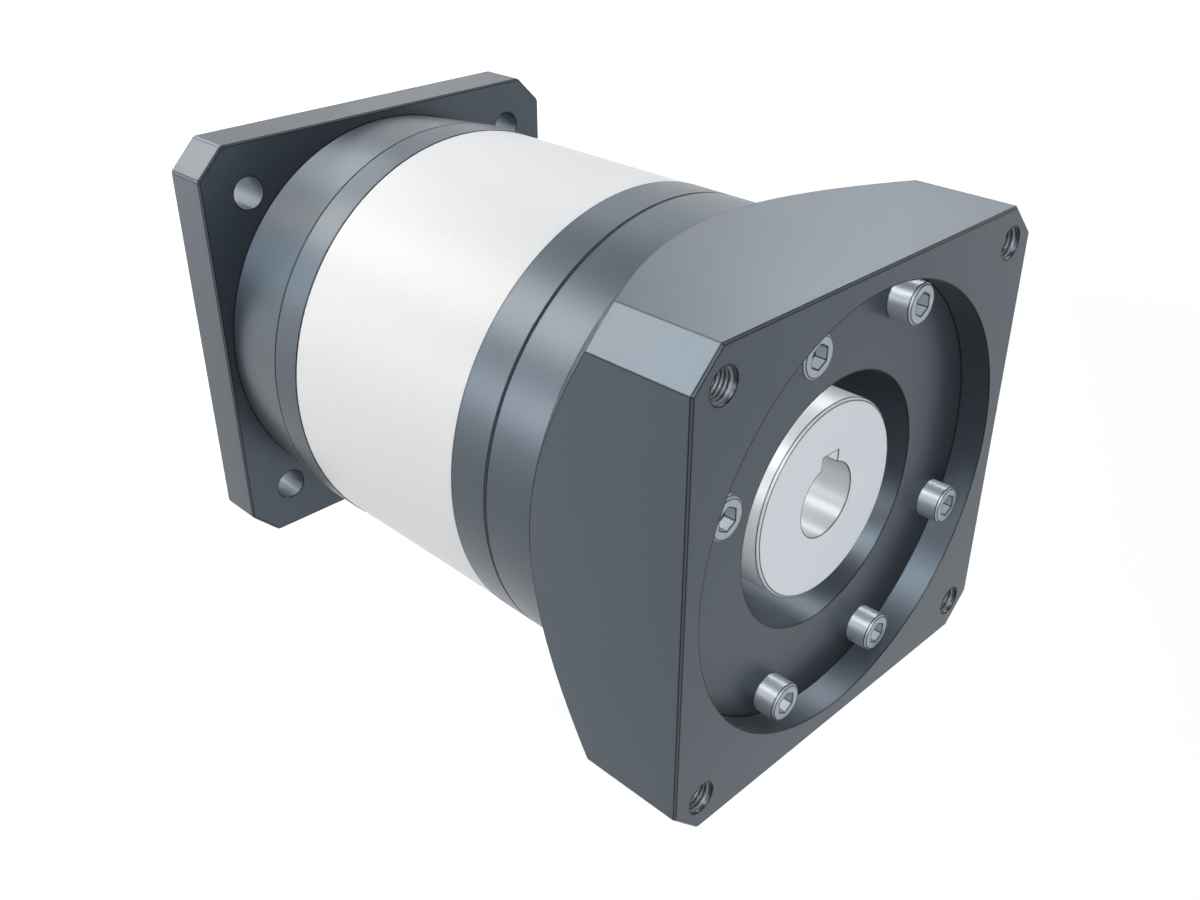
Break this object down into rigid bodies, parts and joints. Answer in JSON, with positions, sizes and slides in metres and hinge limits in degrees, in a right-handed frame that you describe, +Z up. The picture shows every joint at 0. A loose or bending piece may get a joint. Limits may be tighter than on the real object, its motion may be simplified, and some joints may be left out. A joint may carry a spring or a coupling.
{
  "type": "gear reducer",
  "caption": "Coaxial planetary gear reducer with square flanges, white ring gear body, keyed input hub and keyed output shaft",
  "frame": {"origin": "centre of the output flange's mounting face, on the gear axis", "axes": "+X along the gear axis towards the motor, +Z up, flange sides along Y and Z"},
  "size_m": [0.2505, 0.12, 0.12],
  "materials": {
    "dark_housing": "satin",
    "white_housing": "satin",
    "hub_steel": "satin",
    "shaft_steel": "satin",
    "screw_steel": "satin",
    "gear_steel": "satin",
    "bearing_steel": "polished",
    "spring_steel": "satin",
    "bush_bronze": "satin",
    "seal_rubber": "matte"
  },
  "bodies": {
    "housing": {"output_housing": "dark_housing", "input_bearing_plate": "dark_housing", "motor_adapter": "dark_housing", "ring_gear_housing": "white_housing", "tie_bolts": "screw_steel", "output_seal": "seal_rubber", "front_bearing_outer_ring": "bearing_steel", "rear_bearing_outer_ring": "bearing_steel", "outer_spacer": "bearing_steel", "housing_circlip": "spring_steel", "input_bearing_outer_ring": "bearing_steel", "input_seal": "seal_rubber"},
    "output_carrier": {"output_shaft": "shaft_steel", "carrier_plate": "gear_steel", "carrier_screws": "screw_steel", "planet_pins": "gear_steel", "shaft_key": "shaft_steel", "front_bearing_inner_ring": "bearing_steel", "rear_bearing_inner_ring": "bearing_steel", "inner_spacer": "bearing_steel", "shaft_circlip": "spring_steel"},
    "input_shaft": {"input_hub": "hub_steel", "sun_gear": "gear_steel", "input_bearing_inner_ring": "bearing_steel", "hub_circlip": "spring_steel"},
    "planet_1": {"planet_gear_1": "gear_steel", "planet_bush_1": "bush_bronze"},
    "planet_2": {"planet_gear_2": "gear_steel", "planet_bush_2": "bush_bronze"},
    "planet_3": {"planet_gear_3": "gear_steel", "planet_bush_3": "bush_bronze"}
  },
  "joints": [
    {"name": "output_spin", "type": "hinge", "parent": "housing", "child": "output_carrier", "pos_m": [0, 0, 0], "axis": [1, 0, 0], "continuous": true},
    {"name": "input_spin", "type": "hinge", "parent": "housing", "child": "input_shaft", "pos_m": [0.12, 0, 0], "axis": [1, 0, 0], "continuous": true},
    {"name": "planet_1_spin", "type": "hinge", "parent": "output_carrier", "child": "planet_1", "pos_m": [0.0825, 0, 0.027], "axis": [1, 0, 0], "continuous": true},
    {"name": "planet_2_spin", "type": "hinge", "parent": "output_carrier", "child": "planet_2", "pos_m": [0.0825, -0.02338, -0.0135], "axis": [1, 0, 0], "continuous": true},
    {"name": "planet_3_spin", "type": "hinge", "parent": "output_carrier", "child": "planet_3", "pos_m": [0.0825, 0.02338, -0.0135], "axis": [1, 0, 0], "continuous": true}
  ],
  "couplings": [
    {"joint": "input_spin", "follows": "output_spin", "ratio": 4},
    {"joint": "planet_1_spin", "follows": "output_spin", "ratio": -3},
    {"joint": "planet_2_spin", "follows": "output_spin", "ratio": -3},
    {"joint": "planet_3_spin", "follows": "output_spin", "ratio": -3}
  ]
}
